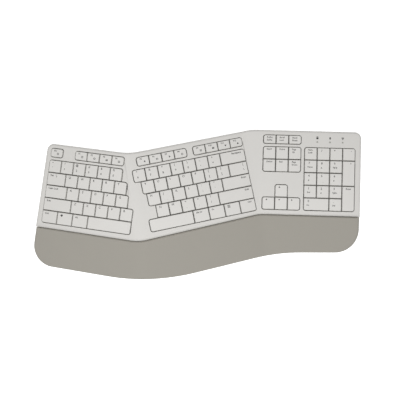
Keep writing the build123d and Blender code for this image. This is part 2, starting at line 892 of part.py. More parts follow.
def make_tray():
    """Floor and rim, ribs under the plates, screw posts, battery bay, switch housing and foot pockets."""
    whole = rear_names + front_names
    lining = wall + register_clearance + register_wall
    rib_plan = [
        (deck, rectangles([plan(deck, *spot) for spot in spots], rib_thickness, rib_length))
        for deck, spots in rib_spots
    ]
    rib_parts = []
    for deck, faces in rib_plan:
        with BuildPart() as rib:
            with BuildSketch(Plane.XY.offset(floor_top)):
                add(faces)
            extrude(amount=tall)
            split(bisect_by=deck.offset(-stack_depth), keep=Keep.BOTTOM)
        rib_parts.append(rib.part)
    channel = shifted(bay_spot, (door_slide / 2, 0))
    tab_gaps = [shifted(bay_spot, (x + door_slide, 0)) for x in tab_spots]
    tab_slots = rectangles(tab_gaps, tab_length + tab_slack, channel_width)
    slab_top = channel_top + bay_wall
    raised = [
        prism(Plane.XY, polygons(screw_spots, screw_post_radius), floor_top, tray_top),
        box(bay_spot, (bay_length + 2 * bay_wall, bay_width + 2 * bay_wall), floor_top, bay_top + bay_wall),
        box(channel, (channel_length + 2 * bay_wall, channel_width + 2 * bay_wall), floor_top, slab_top),
        box(switch_spot, switch_housing, floor_top, switch_top + switch_wall),
    ]
    hollows = [
        box(bay_spot, (bay_length, bay_width), channel_top, bay_top),
        box(channel, (channel_length, door_width + 2 * door_clearance), foot_height, channel_top),
        box(channel, (channel_length, channel_width), foot_height + door_lip, channel_top),
        prism(Plane.XY, tab_slots, foot_height, channel_top),
        box(switch_spot, switch_slot, foot_height, floor_top),
        box(switch_spot, switch_cavity, floor_top, switch_top),
        prism(Plane.XY, rectangles(pad_spots, *pad_size), foot_height, foot_height + pad_recess),
        prism(Plane.XY, polygons(screw_spots, screw_radius + hole_clearance), foot_height, tray_top),
    ]
    with BuildPart() as tray:
        with BuildSketch(Plane.XY.offset(foot_height)):
            add(outline(corners, whole))
        extrude(amount=tray_height)
        chamfer(tray.edges().group_by(Axis.Z)[0], tray_chamfer)
        with BuildSketch(Plane.XY.offset(floor_top)):
            add(outline(corners, whole, lining))
        extrude(amount=tray_height, mode=Mode.SUBTRACT)
        with BuildSketch(Plane.XY.offset(tray_top)):
            add(outline(corners, deck_names, wall + register_clearance))
            add(outline(palm_corners, palm_names, wall + register_clearance))
            add(outline(corners, whole, lining), mode=Mode.SUBTRACT)
        extrude(amount=register_height)
        add(rib_parts)
        add(raised)
        for hx, hy in hinge_spots.values():
            with BuildSketch(Plane.XY.offset(floor_top)):
                with Locations((hx, hy + pocket_rear + pocket_wall)):
                    Rectangle(
                        pocket_width + 2 * pocket_wall,
                        pocket_length + 2 * pocket_wall,
                        align=(Align.CENTER, Align.MAX),
                    )
            extrude(amount=pocket_top + pocket_roof - floor_top)
            with BuildSketch(Plane.XY.offset(foot_height)):
                with Locations((hx, hy + pocket_rear)):
                    Rectangle(pocket_width, pocket_length, align=(Align.CENTER, Align.MAX))
            extrude(amount=pocket_top - foot_height, mode=Mode.SUBTRACT)
            with BuildSketch(Plane.XY.offset(foot_height)):
                with Locations((hx, hy + pocket_rear - pocket_length)):
                    Rectangle(finger_notch[0], finger_notch[1])
            extrude(amount=finger_notch[2], mode=Mode.SUBTRACT)
            with BuildSketch(Plane.YZ.offset(hx - leg_width / 2 - hinge_pin_reach - hinge_clearance)):
                with Locations((hy, hinge_height)):
                    Circle(hinge_pin_radius + hinge_clearance)
            extrude(amount=leg_width + 2 * (hinge_pin_reach + hinge_clearance), mode=Mode.SUBTRACT)
        add(hollows, mode=Mode.SUBTRACT)
        with BuildSketch(Plane.XY.offset(foot_height)):
            with Locations(*screw_spots):
                Circle(screw_head_radius + hole_clearance)
        extrude(amount=screw_seat - foot_height, mode=Mode.SUBTRACT)
    save(tray, "bottom_case")


def make_batteries():
    """Two cells end to tail, with a plate and spring at each cell's flat end and a plate at its tip."""
    start = bay_spot[0] - bay_length / 2
    with BuildPart() as batteries:
        for side in (-1, 1):
            spot_y = bay_spot[1] + side * (cell_radius + cell_gap / 2)
            first = start + contact_thickness + (spring_length if side > 0 else cell_tip_length)
            tip = first + cell_length if side > 0 else first - cell_tip_length
            with BuildSketch(Plane.YZ.offset(first)):
                with Locations((spot_y, cell_height)):
                    Circle(cell_radius)
            extrude(amount=cell_length)
            with BuildSketch(Plane.YZ.offset(tip)):
                with Locations((spot_y, cell_height)):
                    Circle(cell_tip_radius)
            extrude(amount=cell_tip_length)
    save(batteries, "batteries")
    with BuildPart() as battery_contacts:
        for side in (-1, 1):
            spot_y = bay_spot[1] + side * (cell_radius + cell_gap / 2)
            for plate in (start, start + bay_length - contact_thickness):
                with BuildSketch(Plane.YZ.offset(plate)):
                    with Locations((spot_y, cell_height)):
                        Rectangle(contact_width, contact_height)
                extrude(amount=contact_thickness)
            inner = start + contact_thickness if side > 0 else start + bay_length - contact_thickness
            with BuildSketch(Plane.YZ.offset(inner)):
                with Locations((spot_y, cell_height)):
                    RegularPolygon(spring_radius, 6)
            with BuildSketch(Plane.YZ.offset(inner + side * spring_length)):
                with Locations((spot_y, cell_height)):
                    RegularPolygon(spring_tip_radius, 6)
            loft()
    save(battery_contacts, "battery_contacts")


def make_door():
    with BuildPart() as battery_door:
        with BuildSketch(Plane.XY.offset(foot_height)):
            with Locations(bay_spot):
                Rectangle(door_length, door_width)
        extrude(amount=door_thickness)
        with BuildSketch(Plane.XY.offset(foot_height + door_lip + door_clearance)):
            with Locations(*[shifted(bay_spot, (x, 0)) for x in tab_spots]):
                Rectangle(tab_length, door_width + 2 * door_tongue)
        extrude(amount=door_thickness - door_lip - door_clearance)
        with BuildSketch(Plane.XY.offset(foot_height)):
            with Locations(*[shifted(bay_spot, (door_length / 2 - x, 0)) for x in grip_spots]):
                Rectangle(grip_width, grip_length)
        extrude(amount=grip_depth, mode=Mode.SUBTRACT)
    save(battery_door, "battery_door")


def make_switch():
    rest = shifted(switch_spot, (-switch_travel / 2, 0))
    flange_low = floor_top + door_clearance
    with BuildPart() as power_switch:
        with BuildSketch(Plane.XY.offset(foot_height - switch_knob_stand)):
            with Locations(rest):
                Rectangle(*switch_knob)
        extrude(amount=flange_low - foot_height + switch_knob_stand)
        with BuildSketch(Plane.XY.offset(flange_low)):
            with Locations(rest):
                Rectangle(*switch_flange)
        extrude(amount=switch_flange_height)
    save(power_switch, "power_switch")


def make_tilt_feet():
    for name, (hx, hy) in hinge_spots.items():
        with BuildPart() as foot:
            with BuildSketch(Plane.YZ.offset(hx - leg_width / 2)):
                with Locations((hy, hinge_height)):
                    Circle(leg_thickness / 2)
                    Rectangle(leg_length - leg_thickness / 2, leg_thickness, align=(Align.MAX, Align.CENTER))
            extrude(amount=leg_width)
            with BuildSketch(Plane.YZ.offset(hx - leg_width / 2 - hinge_pin_reach)):
                with Locations((hy, hinge_height)):
                    Circle(hinge_pin_radius)
            extrude(amount=leg_width + 2 * hinge_pin_reach)
            with BuildSketch(Plane.XY.offset(hinge_height)):
                with Locations((hx, hy - leg_length / 2)):
                    Rectangle(*leg_window)
            extrude(amount=leg_thickness, both=True, mode=Mode.SUBTRACT)
        save(foot, name)


make_keys()
make_top_case()
make_palm_rest()
make_tray()
make_key_frames()
make_dome_sheets()
make_circuits()
make_board()
make_screws()
make_pads()
make_batteries()
make_door()
make_switch()
make_tilt_feet()
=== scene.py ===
"""Finishes for a split, tented keyboard with a moulded palm rest.

Every piece stays where the frame has it. This file gives the solids their finishes, rounds the
edges of the mouldings and keycaps, prints the legends and the lamp marks, raises the touch bars,
coils the battery springs, forms the soft rubber domes and sets the stage.
"""

import json
import math

import bmesh
import bpy
from bpy.props import FloatProperty, FloatVectorProperty, PointerProperty
from mathutils import Matrix, Vector

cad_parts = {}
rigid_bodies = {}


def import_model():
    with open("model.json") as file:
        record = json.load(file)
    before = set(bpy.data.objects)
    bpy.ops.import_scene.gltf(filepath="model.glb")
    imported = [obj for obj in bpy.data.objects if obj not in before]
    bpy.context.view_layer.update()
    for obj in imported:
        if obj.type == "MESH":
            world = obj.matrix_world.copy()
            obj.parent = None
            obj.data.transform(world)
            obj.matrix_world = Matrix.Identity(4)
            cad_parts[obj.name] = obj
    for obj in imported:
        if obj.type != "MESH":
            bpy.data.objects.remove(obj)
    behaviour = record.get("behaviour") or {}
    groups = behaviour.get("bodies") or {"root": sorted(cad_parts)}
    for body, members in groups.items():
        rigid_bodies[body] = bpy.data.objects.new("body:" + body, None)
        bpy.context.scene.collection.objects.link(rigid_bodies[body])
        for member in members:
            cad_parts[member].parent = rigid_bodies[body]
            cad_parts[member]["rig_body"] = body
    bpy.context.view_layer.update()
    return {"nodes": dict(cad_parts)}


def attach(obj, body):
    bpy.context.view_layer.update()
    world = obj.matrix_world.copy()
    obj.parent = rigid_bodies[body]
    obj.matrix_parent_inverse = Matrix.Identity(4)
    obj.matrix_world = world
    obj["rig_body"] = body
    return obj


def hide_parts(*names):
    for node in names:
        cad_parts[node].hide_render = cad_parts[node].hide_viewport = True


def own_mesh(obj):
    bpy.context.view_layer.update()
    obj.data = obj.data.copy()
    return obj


bl_info = {
    "name": "Split keyboard finishes",
    "version": (1, 0, 0),
    "blender": (4, 5, 0),
    "location": "View3D > Sidebar > Keyboard",
    "description": "Finishes, legends and stage for a split, tented keyboard",
    "category": "Object",
}

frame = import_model()
nodes = frame["nodes"]

MM = 0.001
MERGE = 1e-6            # vertices nearer than this are one
FLAT = 1e-5             # points this near a plane lie on it
FACING = 0.8            # a face looks along an axis when more than this share of its normal does

# Angles in degrees
FACET_TURN = 0.3        # faces that turn by less than this are one flat face
SHARP_TURN = 60         # an edge that turns by more than this is a sharp one
RIM_TURN = 25           # the same along the slanted rim of a cap's top
SHADE_TURN = 32         # an edge that turns by more than this is shaded as a sharp one
CAP_SHADE_TURN = 40     # the same on the caps

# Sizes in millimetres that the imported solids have
CAP_STAND = 2.2         # from a deck up to its caps' tops
CAP_RIM = 0.7           # from a cap's top down past its slanted rim
CAP_ROUND = 1.0         # from a cap's top down past the upper ends of its outer corners
LENS_STAND = 0.15       # from the deck up to a lamp window
PLATE = 0.6             # thickness of a battery contact

# Distances in millimetres of the pieces that are added
MARK_OFFSET = 4.2       # from a lamp window's middle to the foot of its mark
BAR_INSET = 3.2         # from a cap's front edge to its touch bar

# A dome's outline: how high a point is, and how far out between the top's radius and the foot's
DOME_FLARE = ((0.12, 0.93), (0.3, 0.62), (0.6, 0.38), (0.8, 0.3), (0.93, 0.2))

GLOSS_DRIFT = 0.06      # how far a surface's roughness drifts, as a share of it
NOISE_SPAN = (0.3, 0.7)  # where nearly all the values of a noise lie

# Turn of each deck in degrees: yaw, pitch and tent, as its solids stand
DECKS = {
    "left": (-6.2, 4.0, 7.0),
    "right": (13.6, 2.2, -7.0),
    "numpad": (0.0, 2.2, 0.0),
}


def letters(text):
    """One cap's legend for each letter."""
    return [[(sign, "letter")] for sign in text]


def pairs(text, side=""):
    """Caps with a stacked pair of signs, given as the upper and the lower one."""
    return [[(pair[0], side + "upper"), (pair[1], side + "lower")] for pair in text.split()]


def word(text, style="word"):
    """One cap with one word or sign."""
    return [[(text, style)]]


def two_lines(*texts):
    """Caps with a word on each of two lines."""
    return [list(zip(text.split(), ("first", "second"))) for text in texts]


def with_icon(*caps):
    """Function caps with a small word and a sign at the lower right."""
    return [[(text, "small"), (sign, "corner")] for text, sign in caps]


def numbers(text, *words):
    """Numpad caps with a digit over a word or a sign."""
    return [
        [(sign, "digit"), (below, "below" if below in SIGNS else "under")]
        for sign, below in zip(text, words)
    ]


def box_outline(x, y, width, height):
    """An upright rectangle from its lower left corner."""
    return [(x, y), (x + width, y), (x + width, y + height), (x, y + height)]


# Signs as closed outlines about a unit square's middle; an outline inside another one is a hole
SIGNS = {
    "up": [[(-0.5, -0.35), (0.5, -0.35), (0.0, 0.45)]],
    "down": [[(-0.5, 0.35), (0.0, -0.45), (0.5, 0.35)]],
    "left": [[(0.35, -0.5), (0.35, 0.5), (-0.45, 0.0)]],
    "right": [[(-0.35, -0.5), (0.45, 0.0), (-0.35, 0.5)]],
    "diamond": [[(0.0, -0.5), (0.5, 0.0), (0.0, 0.5), (-0.5, 0.0)]],
    "bars": [box_outline(-0.5, y, 1.0, 0.18) for y in (-0.45, -0.09, 0.27)],
    "pause": [box_outline(x, -0.45, 0.28, 0.9) for x in (-0.42, 0.14)],
    "panes": [box_outline(x, -0.4, 0.42, 0.8) for x in (-0.48, 0.06)],
    "lock": [
        [
            (-0.36, -0.5), (0.36, -0.5), (0.36, 0.1), (0.26, 0.1),
            (0.26, 0.5), (-0.26, 0.5), (-0.26, 0.1), (-0.36, 0.1),
        ],
        box_outline(-0.12, 0.14, 0.24, 0.22),
    ],
    "raised": [
        [
            (-0.42, -0.05), (-0.22, -0.05), (-0.22, -0.5), (0.22, -0.5),
            (0.22, -0.05), (0.42, -0.05), (0.0, 0.5),
        ],
    ],
    "scroll": [
        [(-0.62, 0.12), (0.0, -0.5), (0.62, 0.12)],
        box_outline(-0.62, 0.26, 1.24, 0.24),
    ],
    "ring": [
        [(r * math.cos(turn * math.pi / 6), r * math.sin(turn * math.pi / 6)) for turn in range(12)]
        for r in (0.5, 0.3)
    ],
}

# Legends of each row of caps, from left to right
LEGENDS = {
    "left": {
        "key_escape": with_icon(("Esc", "ring")),
        "keys_f1_to_f4": with_icon(("F1", "bars"), ("F2", "ring"), ("F3", "panes"), ("F4", "bars")),
        "keys_left_number_row": pairs("~` !1 @2 #3 $4 %5"),
        "key_tab": [[("Tab", "word"), ("left", "tab_upper"), ("right", "tab_lower")]],
        "keys_left_upper_row": letters("QWERT"),
        "key_caps_lock": word("Caps Lock"),
        "keys_left_home_row": letters("ASDFG"),
        "key_left_shift": word("Shift"),
        "keys_left_lower_row": letters("ZXCVB"),
        "key_left_control": word("Ctrl"),
        "key_left_system": word("diamond", "sign"),
        "key_left_alt": word("Alt"),
    },
    "right": {
        "keys_f5_to_f8": with_icon(("F5", "left"), ("F6", "pause"), ("F7", "right"), ("F8", "ring")),
        "keys_f9_to_f12": with_icon(("F9", "bars"), ("F10", "panes"), ("F11", "down"), ("F12", "up")),
        "keys_right_number_row": pairs("^6 &7 *8 (9 )0 _- +=", "far_"),
        "key_backspace": word("Backspace", "right"),
        "keys_right_upper_row": letters("YUIOP") + pairs("{[ }]", "far_"),
        "key_backslash": [[("|", "right_upper"), ("\\", "right_lower")]],
        "keys_right_home_row": letters("HJKL") + pairs(":; \"'", "far_"),
        "key_enter": word("Enter", "right"),
        "keys_right_lower_row": letters("NM") + pairs("<, >. ?/", "far_"),
        "key_right_shift": word("Shift", "right"),
        "key_right_alt": word("Alt Gr"),
        "key_right_system": word("Fn"),
        "key_menu": word("bars", "sign"),
        "key_right_control": word("Ctrl", "right"),
    },
    "numpad": {
        "keys_print_scroll_pause": two_lines("PrtScn SysRq", "Scroll Lock", "Pause Break"),
        "keys_insert_home_page_up": two_lines("Insert", "Home", "Page Up"),
        "keys_delete_end_page_down": two_lines("Delete", "End", "Page Down"),
        "key_arrow_up": word("up", "arrow"),
        "key_arrow_left": word("left", "arrow"),
        "key_arrow_down": word("down", "arrow"),
        "key_arrow_right": word("right", "arrow"),
        "keys_numpad_top_row": (
            two_lines("Num Lock") + word("/", "digit") + word("*", "digit") + word("-", "right")
        ),
        "keys_numpad_789": numbers("789", "Home", "up", "PgUp"),
        "keys_numpad_456": numbers("456", "left", "", "right"),
        "keys_numpad_123": numbers("123", "End", "down", "PgDn"),
        "key_numpad_zero": numbers("0", "Ins"),
        "key_numpad_point": numbers(".", "Del"),
        "key_numpad_plus": word("+", "right"),
        "key_numpad_enter": word("Enter", "right"),
    },
}
# Caps without a legend
BLANK = {"left": ["key_left_space"], "right": ["key_right_space"], "numpad": []}

# Home rows: the deck they lie on, and which of their caps has the touch bar, counted from 0
TOUCH_BARS = {
    "keys_left_home_row": ("left", 3),
    "keys_right_home_row": ("right", 1),
    "keys_numpad_456": ("numpad", 1),
}

# Mark behind each lamp window, from left to right, and its height in millimetres
LAMP_MARKS = (("lock", 4.3), ("raised", 3.9), ("scroll", 3.2))

# Where each style of legend stands on a cap's top: side it is set from, distance from that side
# (of its middle, where it is set on its middle), distance of its foot below the rear edge, and the
# height of its capitals or sign, in millimetres
STYLES = {
    "letter": ("left", 3.5, 4.5, 3.3),
    "upper": ("center", 4.5, 3.9, 3.1),
    "lower": ("center", 4.6, 11.9, 3.1),
    "far_upper": ("center", 5.4, 3.9, 3.1),
    "far_lower": ("center", 5.6, 11.9, 3.1),
    "digit": ("left", 4.8, 5.0, 3.3),
    "under": ("left", 3.4, 10.4, 2.3),
    "below": ("left", 4.3, 11.5, 2.4),
    "word": ("left", 3.2, 4.2, 2.6),
    "tab_upper": ("left", 11.2, 2.8, 1.8),
    "tab_lower": ("left", 12.6, 5.2, 1.8),
    "small": ("left", 4.0, 3.5, 2.4),
    "first": ("left", 3.9, 3.8, 2.4),
    "second": ("left", 3.9, 7.8, 2.4),
    "right": ("right", 4.3, 4.2, 2.6),
    "right_upper": ("right", 4.8, 4.4, 3.1),
    "right_lower": ("right", 4.8, 11.9, 3.1),
    "sign": ("center", 5.7, 5.6, 4.2),
    "arrow": ("left", 3.8, 4.2, 2.8),
    "corner": ("left", 8.8, 8.4, 3.2),
}
CAPITAL = 0.73          # height of the font's capitals as a share of its size


def linear(hex_colour):
    """An sRGB hex value as the linear colour that a shader reads."""
    channels = [(hex_colour >> shift & 255) / 255 for shift in (16, 8, 0)]
    return (*[c / 12.92 if c <= 0.04045 else ((c + 0.055) / 1.055) ** 2.4 for c in channels], 1.0)


def colour_setting(name, description, hex_colour):
    return FloatVectorProperty(
        name=name,
        description=description,
        subtype="COLOR",
        size=4,
        min=0.0,
        max=1.0,
        default=linear(hex_colour),
    )


def length_setting(name, description, millimetres):
    return FloatProperty(
        name=name,
        description=description,
        subtype="DISTANCE",
        unit="LENGTH",
        min=0.0,
        default=millimetres * MM,
    )


class KeyboardColours(bpy.types.PropertyGroup):
    case: colour_setting("Case", "Moulded top case", 0xD8D6D2)
    caps: colour_setting("Keycaps", "Moulded keycaps", 0xDCDAD6)
    palm: colour_setting("Palm rest", "Lacquer on the palm rest", 0xA29E95)
    tray: colour_setting("Tray", "Moulded tray and battery door", 0xCFCCC7)
    legends: colour_setting("Legends", "Ink of the legends", 0x30302F)
    marks: colour_setting("Lamp marks", "Ink of the marks behind the lamp windows", 0x262625)


class KeyboardSizes(bpy.types.PropertyGroup):
    case_edge: length_setting("Case edge", "Rounding of the key openings' edges", 0.4)
    cap_corner: length_setting("Cap corner", "Rounding of the corners between neighbouring caps", 0.6)
    cap_edge: length_setting("Cap edge", "Rounding of the edge round a cap's top", 0.25)
    seam_edge: length_setting("Seam edge", "Rounding of the palm rest along the case", 2.8)
    lever_edge: length_setting("Lever edge", "Rounding of the feet, the switch and the door", 0.25)
    ink: length_setting("Ink", "Thickness of the printed ink", 0.03)
    spread: length_setting("Ink spread", "How far the ink runs past a letter's outline", 0.08)
    bar_length: length_setting("Touch bar length", "Length of the touch bars", 3.6)
    bar_radius: length_setting("Touch bar radius", "Radius of the touch bars", 0.35)
    wire: length_setting("Spring wire", "Radius of the battery springs' wire", 0.35)


class KeyboardStage(bpy.types.PropertyGroup):
    fill: FloatProperty(name="Fill", description="Strength of the even light", default=0.33, min=0.0)
    lamp: FloatProperty(
        name="Soft box",
        description="Power of the soft box overhead",
        default=12.4,
        min=0.0,
        unit="POWER",
    )


def add_node(tree, kind, values=None, **settings):
    """Adds a node with its settings, and with a value or a link for each named input."""
    node = tree.nodes.new(kind)
    for name, setting in settings.items():
        setattr(node, name, setting)
    for name, value in (values or {}).items():
        if isinstance(value, bpy.types.NodeSocket):
            tree.links.new(value, node.inputs[name])
        else:
            node.inputs[name].default_value = value
    return node


def drift(noise, middle, share):
    """Inputs of a node that turns a noise into a value within a share of its middle."""
    low, high = NOISE_SPAN
    return {
        "Value": noise.outputs["Fac"],
        "From Min": low,
        "From Max": high,
        "To Min": middle * (1 - share),
        "To Max": middle * (1 + share),
    }


def lined(tree, place, ground, pitch, width, metal):
    """Inputs of a shader for a ground with metal lines along x, in millimetres apart and wide."""
    parts = add_node(tree, "ShaderNodeSeparateXYZ", {"Vector": place})
    rows = add_node(tree, "ShaderNodeMath", {0: parts.outputs["Y"], 1: pitch * MM}, operation="DIVIDE")
    step = add_node(tree, "ShaderNodeMath", {0: rows.outputs["Value"]}, operation="FRACT")
    line = add_node(
        tree, "ShaderNodeMath", {0: step.outputs["Value"], 1: width / pitch}, operation="LESS_THAN"
    )
    colour = add_node(
        tree, "ShaderNodeMixRGB", {"Fac": line.outputs["Value"], "Color1": ground, "Color2": metal}
    )
    return {"Base Color": colour.outputs["Color"], "Metallic": line.outputs["Value"]}


def finish(name, colour, roughness, mottle, patch, grain=0.0, depth=0.0, tracks=None, **more):
    """A surface whose colour and gloss drift a little from patch to patch, with its grain as a bump.

    Mottle is the drift as a share of the colour. Patch, grain and depth are in millimetres. Tracks
    are metal lines along x: their pitch and width in millimetres, and their colour.
    """
    material = bpy.data.materials.new(name)
    material.use_nodes = True
    tree = material.node_tree
    tree.nodes.clear()
    place = add_node(tree, "ShaderNodeTexCoord").outputs["Object"]
    patches = add_node(
        tree, "ShaderNodeTexNoise", {"Vector": place, "Scale": 1 / (patch * MM), "Detail": 3.0}
    )
    tone = add_node(tree, "ShaderNodeMapRange", drift(patches, 1.0, mottle))
    gloss = add_node(tree, "ShaderNodeMapRange", drift(patches, roughness, GLOSS_DRIFT))
    drifted = add_node(
        tree, "ShaderNodeHueSaturation", {"Color": colour, "Value": tone.outputs["Result"]}
    ).outputs["Color"]
    values = {"Base Color": drifted, "Roughness": gloss.outputs["Result"], **more}
    if tracks:
        values.update(lined(tree, place, drifted, *tracks))
    if depth:
        grit = add_node(
            tree,
            "ShaderNodeTexNoise",
            {"Vector": place, "Scale": 1 / (grain * MM), "Detail": 2.0, "Roughness": 0.6},
        )
        bump = add_node(tree, "ShaderNodeBump", {"Height": grit.outputs["Fac"], "Distance": depth * MM})
        values["Normal"] = bump.outputs["Normal"]
    shader = add_node(tree, "ShaderNodeBsdfPrincipled", values)
    add_node(tree, "ShaderNodeOutputMaterial", {"Surface": shader.outputs["BSDF"]})
    return material


def make_materials(colours):
    """Every finish on the keyboard, by what it is and how it is made."""
    return {
        # ABS moulded in a spark-eroded tool: satin, with a grit drawn four times too coarse so that
        # it shows
        "case": finish(
            "ABS_spark_textured_case", colours.case,
            roughness=0.48, mottle=0.012, patch=30, grain=0.5, depth=0.012,
        ),
        # The same ABS on the caps, from a finer tool
        "caps": finish(
            "ABS_fine_textured_caps", colours.caps,
            roughness=0.42, mottle=0.012, patch=18, grain=0.4, depth=0.006,
        ),
        # Polyurethane lacquer sprayed on ABS: dead matt, with a faint bloom at a low angle
        "palm": finish(
            "Polyurethane_soft_touch_lacquer", colours.palm,
            roughness=0.72, mottle=0.015, patch=25, grain=0.8, depth=0.01,
            **{"Sheen Weight": 0.15, "Sheen Roughness": 0.6},
        ),
        # ABS from a coarser tool, as undersides are
        "tray": finish(
            "ABS_spark_textured_tray", colours.tray,
            roughness=0.55, mottle=0.02, patch=30, grain=0.9, depth=0.02,
        ),
        # Two-part ink from a pad: thin, dark and slightly glossy, a little thinner in places
        "ink": finish("Pad_printed_ink", colours.legends, roughness=0.4, mottle=0.15, patch=1.5),
        "marks": finish(
            "Pad_printed_lamp_marks", colours.marks, roughness=0.4, mottle=0.15, patch=1.5
        ),
        # Glass-filled polyamide as moulded: grey and matt, with pale swirls of fibre at the surface.
        # The grey is also drawn lighter so that the shaded gaps between the caps come out lighter,
        # which is painted light
        "frames": finish(
            "Polyamide_moulded_frames", linear(0x77756F), roughness=0.6, mottle=0.06, patch=5
        ),
        # Polycarbonate blend for small levers: grey and satin
        "levers": finish(
            "Polycarbonate_moulded_levers", linear(0x8B8A87),
            roughness=0.45, mottle=0.02, patch=8, grain=0.5, depth=0.01,
        ),
        # Silicone rubber cured in a press: milky and matt
        "domes": finish(
            "Silicone_pressed_domes", linear(0xBFBFBA),
            roughness=0.6, mottle=0.02, patch=6, **{"Subsurface Weight": 0.2},
        ),
        # Polyester film with screen-printed silver tracks: smooth and faintly green. The tracks are
        # drawn wider than real ones, so that they show
        "film": finish(
            "Polyester_printed_film", linear(0x93A39D),
            roughness=0.25, mottle=0.03, patch=9, tracks=(3.0, 1.0, linear(0xC4C6C8)),
        ),
        # Zinc-plated steel sheet: bright with a grey cast that changes from spangle to spangle
        "sheet": finish(
            "Steel_zinc_plated_sheet", linear(0xA3A5A8),
            roughness=0.35, mottle=0.06, patch=4, Metallic=1.0,
        ),
        # Glass-epoxy laminate under green solder mask: the weave is a faint bump, and the copper
        # lines show paler through the mask, drawn wider than real ones
        "board": finish(
            "Epoxy_laminate_board", linear(0x1C5A34),
            roughness=0.3, mottle=0.05, patch=2, grain=0.4, depth=0.01,
            tracks=(1.6, 0.6, linear(0x4C8A55)),
        ),
        # Clear polycarbonate light pipe: a dull pale window when its lamp is off
        "lens": finish(
            "Polycarbonate_moulded_lens", linear(0xB0B0A8),
            roughness=0.2, mottle=0.03, patch=2, **{"Coat Weight": 0.4},
        ),
        # Zinc-plated steel again, on the small turned screws
        "screws": finish(
            "Steel_zinc_plated_screws", linear(0x94969A),
            roughness=0.3, mottle=0.05, patch=1, Metallic=1.0,
        ),
        # Rubber pads cut from sheet: dark and matt
        "feet": finish(
            "Rubber_die_cut_feet", linear(0x2B2B2B),
            roughness=0.8, mottle=0.06, patch=4, grain=0.6, depth=0.02,
        ),
        # Printed shrink sleeve over the can of a cell: coloured under a clear gloss
        "cells": finish(
            "Shrink_sleeve_cells", linear(0x3D5B58),
            roughness=0.3, mottle=0.03, patch=8, **{"Coat Weight": 0.3},
        ),
        # Nickel-plated spring steel: bright and a little warm
        "contacts": finish(
            "Steel_nickel_plated_contacts", linear(0xC9C6BE),
            roughness=0.22, mottle=0.04, patch=3, Metallic=1.0,
        ),
    }


# The finishes by name, made by the first operator
finishes = {}

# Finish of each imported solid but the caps
NODE_FINISH = {
    "top_case": "case",
    "palm_rest": "palm",
    "bottom_case": "tray",
    "battery_door": "tray",
    "key_frames": "frames",
    "dome_sheets": "domes",
    "circuit_membranes": "film",
    "back_plates": "sheet",
    "controller_board": "board",
    "indicator_lenses": "lens",
    "case_screws": "screws",
    "rubber_feet": "feet",
    "batteries": "cells",
    "battery_contacts": "contacts",
    "power_switch": "levers",
    "tilt_foot_left": "levers",
    "tilt_foot_right": "levers",
}
# Mouldings that ease_mouldings replaces, and their slots
MOULDINGS = {
    "bottom_case": "tray_plastic",
    "battery_door": "tray_plastic",
    "tilt_foot_left": "foot_plastic",
    "tilt_foot_right": "foot_plastic",
    "power_switch": "foot_plastic",
    "rubber_feet": "foot_rubber",
}


def deck_turn(deck):
    """The turn that takes a deck's own frame, with z square to it, to the keyboard's frame."""
    yaw, pitch, tent = (math.radians(angle) for angle in DECKS[deck])
    turned = Matrix.Rotation(yaw, 4, "Z") @ Matrix.Rotation(pitch, 4, "X")
    return turned @ Matrix.Rotation(-tent, 4, "Y")


def up_from(turn):
    """The way that a turned deck faces."""
    return turn.to_3x3() @ Vector((0, 0, 1))


def joined(node):
    """A copy of a node's solids with their loose triangles joined."""
    copy = bmesh.new()
    copy.from_mesh(nodes[node].data)
    bmesh.ops.remove_doubles(copy, verts=copy.verts, dist=MERGE)
    return copy


def merged(node):
    """A copy of a node's solids with their triangles joined and their flat faces made whole."""
    copy = joined(node)
    bmesh.ops.dissolve_limit(
        copy,
        angle_limit=math.radians(FACET_TURN),
        verts=copy.verts,
        edges=copy.edges,
        delimit={"NORMAL"},
    )
    return copy


def bevel(mesh, edges, width, segments=2, profile=0.5):
    """Rounds some edges of a bmesh. A profile of 0.5 is an arc, and one of 0.25 is flat."""
    if edges:
        bmesh.ops.bevel(
            mesh,
            geom=edges,
            offset=width,
            offset_type="OFFSET",
            segments=segments,
            profile=profile,
            affect="EDGES",
            clamp_overlap=False,
        )


def turns_over(edge, degrees):
    """Whether the two faces of an edge turn by more than this."""
    return len(edge.link_faces) == 2 and edge.calc_face_angle(0.0) > math.radians(degrees)


def rise(edge):
    """How much higher one end of an edge stands than the other."""
    return abs(edge.verts[0].co.z - edge.verts[1].co.z)


def new_object(name, data):
    made = bpy.data.objects.new(name, data)
    bpy.context.scene.collection.objects.link(made)
    return made


def plain_mesh(holder):
    """The mesh that an object's curve or modifiers make."""
    bpy.context.view_layer.update()
    evaluated = holder.evaluated_get(bpy.context.evaluated_depsgraph_get())
    return bpy.data.meshes.new_from_object(evaluated)


def place_piece(mesh, name, coat, body, replaced=(), shade_turn=SHADE_TURN):
    """Makes a finished piece of a bmesh and lets it ride on its body."""
    data = bpy.data.meshes.new(name)
    mesh.to_mesh(data)
    mesh.free()
    return place_data(data, name, coat, body, replaced, shade_turn)


def place_data(data, name, coat, body, replaced=(), shade_turn=SHADE_TURN):
    """The same of a plain mesh."""
    data.materials.clear()
    data.materials.append(finishes[coat])
    data.shade_smooth()
    data.set_sharp_from_angle(angle=math.radians(shade_turn))
    piece = new_object(name, data)
    even = piece.modifiers.new("even_shading", "WEIGHTED_NORMAL")
    even.keep_sharp = True
    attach(piece, body)
    if replaced:
        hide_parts(*replaced)
    return piece


def islands(mesh):
    """The vertices of each separate solid of a bmesh."""
    waiting = set(mesh.verts)
    found = []
    while waiting:
        start = waiting.pop()
        group, reached = {start}, [start]
        while reached:
            vertex = reached.pop()
            for edge in vertex.link_edges:
                other = edge.other_vert(vertex)
                if other not in group:
                    group.add(other)
                    reached.append(other)
        waiting -= group
        found.append(group)
    return found


